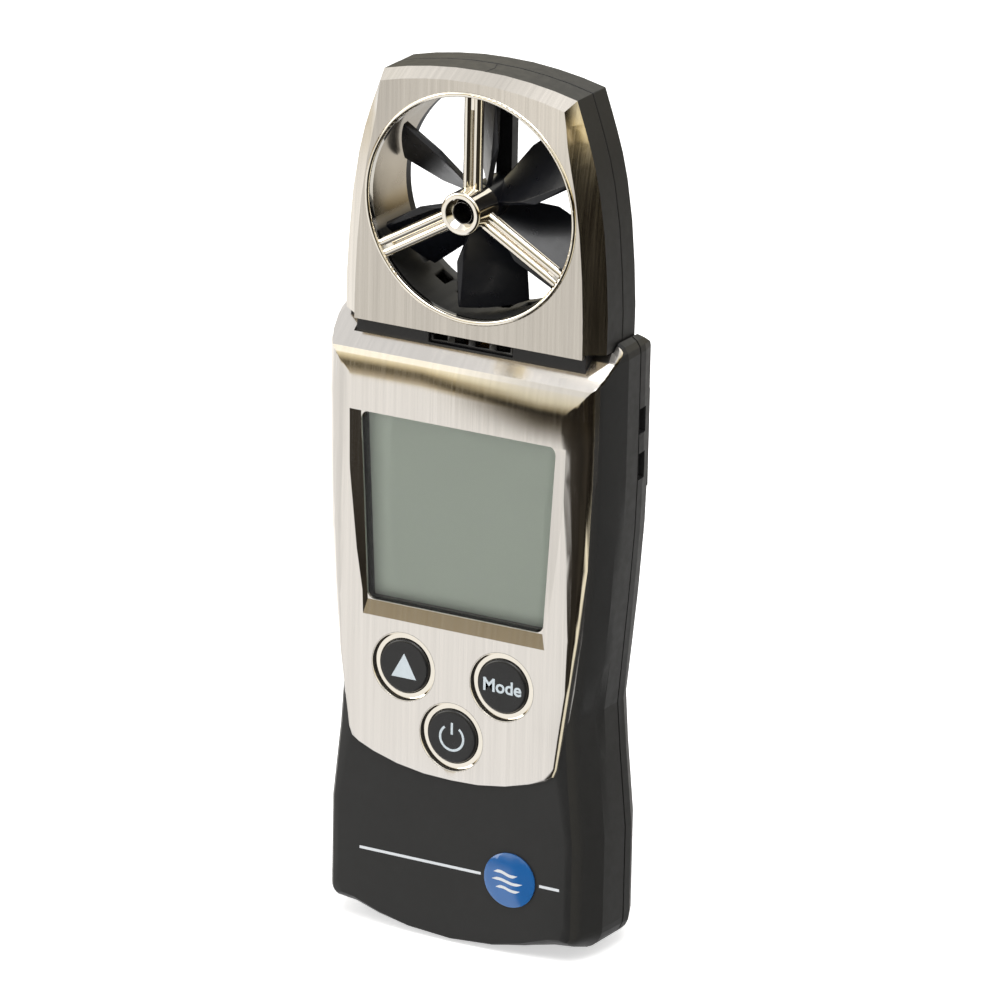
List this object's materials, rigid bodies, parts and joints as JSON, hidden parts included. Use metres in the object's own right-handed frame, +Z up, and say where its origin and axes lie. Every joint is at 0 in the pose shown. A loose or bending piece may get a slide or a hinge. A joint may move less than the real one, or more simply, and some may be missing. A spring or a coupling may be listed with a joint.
{
  "type": "vane anemometer",
  "caption": "Pocket vane anemometer: a bladed rotor in a round guarded duct on a slim waisted handset with a display window, push buttons and a sliding battery cover.",
  "frame": {"origin": "middle of the bounding box in X and Y, level with the lowest point of the handset", "axes": "+Z up the handset towards the rotor head, -Y the way the display faces, +X to the right seen from the front"},
  "size_m": [0.046, 0.021, 0.1301],
  "materials": {
    "shell": "fine textured charcoal",
    "dark_plastic": "black satin",
    "brushed_metal": "brushed along the handset, warm",
    "bright_chrome": "polished",
    "lens": "clear, gloss",
    "lcd": "grey-green",
    "seal": "matt",
    "connector_rubber": "matt",
    "badge": "domed gloss",
    "button": "satin",
    "steel": "bright",
    "board": "solder mask",
    "component": "moulded",
    "flex": "polyimide",
    "cell": "wrapped cell",
    "bearing": "polished jewel",
    "rotor_plastic": "semi gloss",
    "magnet": "plated",
    "sensor": "epoxy bead"
  },
  "bodies": {
    "handset": {"front_shell": "shell", "rear_shell": "shell", "case_seal": "seal", "neck_block": "dark_plastic", "sensor_grille": "dark_plastic", "body_fascia": "brushed_metal", "display_lens": "lens", "lens_gasket": "seal", "badge": "badge", "button_rings": "bright_chrome", "keypad_mat": "seal", "contact_domes": "steel", "lcd_panel": "lcd", "lcd_frame": "dark_plastic", "lcd_connectors": "connector_rubber", "circuit_board": "board", "board_components": "component", "flex_cable": "flex", "battery_1": "cell", "battery_2": "cell", "battery_contacts": "steel", "battery_springs": "steel", "case_screws": "steel", "head_fascia": "brushed_metal", "head_front_shell": "shell", "head_rear_shell": "shell", "head_screws": "steel", "duct_liner": "bright_chrome", "vane_guard": "bright_chrome", "front_bearing": "bearing", "rear_bridge": "dark_plastic", "rear_bearing": "bearing", "sensor_board": "board", "temperature_sensor": "sensor", "hall_sensor": "component"},
    "rotor_assembly": {"rotor": "rotor_plastic", "rotor_shaft": "steel", "rotor_magnet": "magnet"},
    "up_button": {"button_up": "button"},
    "mode_button": {"button_mode": "button"},
    "power_button": {"button_power": "button"},
    "cover": {"battery_cover": "shell"}
  },
  "joints": [
    {"name": "rotor_spin", "type": "hinge", "parent": "handset", "child": "rotor_assembly", "pos_m": [0, -0.0015, 0.1104], "axis": [0, 1, 0], "continuous": true},
    {"name": "up_press", "type": "slide", "parent": "handset", "child": "up_button", "axis": [0, 1, 0], "range_m": [0, 0.0005]},
    {"name": "mode_press", "type": "slide", "parent": "handset", "child": "mode_button", "axis": [0, 1, 0], "range_m": [0, 0.0005]},
    {"name": "power_press", "type": "slide", "parent": "handset", "child": "power_button", "axis": [0, 1, 0], "range_m": [0, 0.0005]},
    {"name": "battery_cover_slide", "type": "slide", "parent": "handset", "child": "cover", "axis": [0, 0, -1], "range_m": [0, 0.008]}
  ]
}
